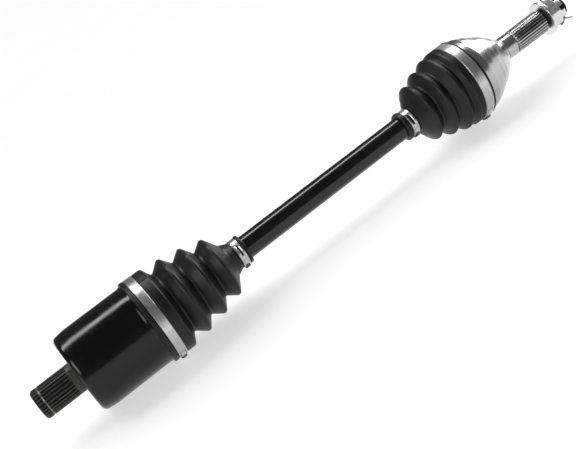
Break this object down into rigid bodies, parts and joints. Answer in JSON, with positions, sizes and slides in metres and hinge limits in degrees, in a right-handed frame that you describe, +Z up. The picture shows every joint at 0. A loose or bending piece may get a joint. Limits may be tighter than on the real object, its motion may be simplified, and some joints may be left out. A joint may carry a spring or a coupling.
{
  "type": "cv axle",
  "caption": "Constant-velocity half shaft: black bar with a plunging ball joint at one end, a fixed ball joint at the other, rubber boots with band clamps, splined stubs and a castle nut.",
  "frame": {"origin": "on the axle's axis, at the middle of the 12 mm bearing seat on the wheel-side journal, 9 mm outboard of the bell's shoulder", "axes": "+X along the axle towards the wheel, +Z up with the axle lying level; the gearbox stub points to -X"},
  "size_m": [0.6273, 0.0856, 0.0857],
  "materials": {
    "gloss_black_paint": "gloss black paint on turned steel",
    "machined_steel": "bright turned steel with fine lathe lines",
    "hardened_steel": "ground and hardened steel, grey",
    "polished_steel": "polished bearing balls",
    "spring_steel": "round spring wire",
    "stainless_band": "satin stainless band",
    "boot_rubber": "matte black moulded rubber with a fine texture",
    "zinc_plate": "bright zinc plate"
  },
  "bodies": {
    "shaft": {"axle_bar": "gloss_black_paint", "inboard_inner_race": "hardened_steel", "inboard_race_circlip": "spring_steel", "outboard_inner_race": "hardened_steel", "outboard_race_circlip": "spring_steel", "inboard_neck_clamp": "stainless_band", "outboard_neck_clamp": "stainless_band", "outboard_boot": "boot_rubber"},
    "inboard_lead_ball": {"inboard_ball_1": "polished_steel"},
    "inboard_cage_set": {"inboard_cage": "hardened_steel", "inboard_ball_2": "polished_steel", "inboard_ball_3": "polished_steel", "inboard_ball_5": "polished_steel", "inboard_ball_6": "polished_steel"},
    "inboard_trail_ball": {"inboard_ball_4": "polished_steel"},
    "inboard_bellows": {"inboard_boot": "boot_rubber"},
    "inboard_cup": {"inboard_housing": "gloss_black_paint", "inboard_stub_circlip": "spring_steel", "inboard_stop_ring": "spring_steel", "inboard_rim_clamp": "stainless_band"},
    "outboard_lead_ball": {"outboard_ball_1": "polished_steel"},
    "outboard_cage_set": {"outboard_cage": "hardened_steel", "outboard_ball_2": "polished_steel", "outboard_ball_3": "polished_steel", "outboard_ball_5": "polished_steel", "outboard_ball_6": "polished_steel"},
    "outboard_trail_ball": {"outboard_ball_4": "polished_steel"},
    "outboard_bell": {"outboard_housing": "machined_steel", "outboard_rim_clamp": "stainless_band", "hub_washer": "zinc_plate", "castle_nut": "zinc_plate", "cotter_pin": "zinc_plate"}
  },
  "joints": [
    {"name": "inboard_yaw", "type": "hinge", "parent": "shaft", "child": "inboard_lead_ball", "pos_m": [-0.455, 0, 0], "axis": [0, 0, 1], "range_deg": [-4.8, 4.8]},
    {"name": "inboard_pitch", "type": "hinge", "parent": "inboard_lead_ball", "child": "inboard_cage_set", "pos_m": [-0.455, 0, 0], "axis": [0, 1, 0], "range_deg": [-4.8, 4.8]},
    {"name": "inboard_pitch_cup_half", "type": "hinge", "parent": "inboard_cage_set", "child": "inboard_trail_ball", "pos_m": [-0.455, 0, 0], "axis": [0, 1, 0], "range_deg": [-4.8, 4.8]},
    {"name": "inboard_yaw_cup_half", "type": "hinge", "parent": "inboard_trail_ball", "child": "inboard_bellows", "pos_m": [-0.455, 0, 0], "axis": [0, 0, 1], "range_deg": [-4.8, 4.8]},
    {"name": "inboard_plunge", "type": "slide", "parent": "inboard_bellows", "child": "inboard_cup", "axis": [1, 0, 0], "range_m": [-0.01, 0.01], "deforming": ["inboard_boot"]},
    {"name": "outboard_yaw", "type": "hinge", "parent": "shaft", "child": "outboard_lead_ball", "pos_m": [-0.055, 0, 0], "axis": [0, 0, 1], "range_deg": [-9, 9]},
    {"name": "outboard_pitch", "type": "hinge", "parent": "outboard_lead_ball", "child": "outboard_cage_set", "pos_m": [-0.055, 0, 0], "axis": [0, 1, 0], "range_deg": [-9, 9], "deforming": ["outboard_boot"]},
    {"name": "outboard_pitch_bell_half", "type": "hinge", "parent": "outboard_cage_set", "child": "outboard_trail_ball", "pos_m": [-0.055, 0, 0], "axis": [0, 1, 0], "range_deg": [-9, 9]},
    {"name": "outboard_yaw_bell_half", "type": "hinge", "parent": "outboard_trail_ball", "child": "outboard_bell", "pos_m": [-0.055, 0, 0], "axis": [0, 0, 1], "range_deg": [-9, 9]}
  ],
  "couplings": [
    {"joint": "inboard_pitch_cup_half", "follows": "inboard_pitch", "ratio": 1},
    {"joint": "inboard_yaw_cup_half", "follows": "inboard_yaw", "ratio": 1},
    {"joint": "outboard_pitch_bell_half", "follows": "outboard_pitch", "ratio": 1},
    {"joint": "outboard_yaw_bell_half", "follows": "outboard_yaw", "ratio": 1}
  ]
}
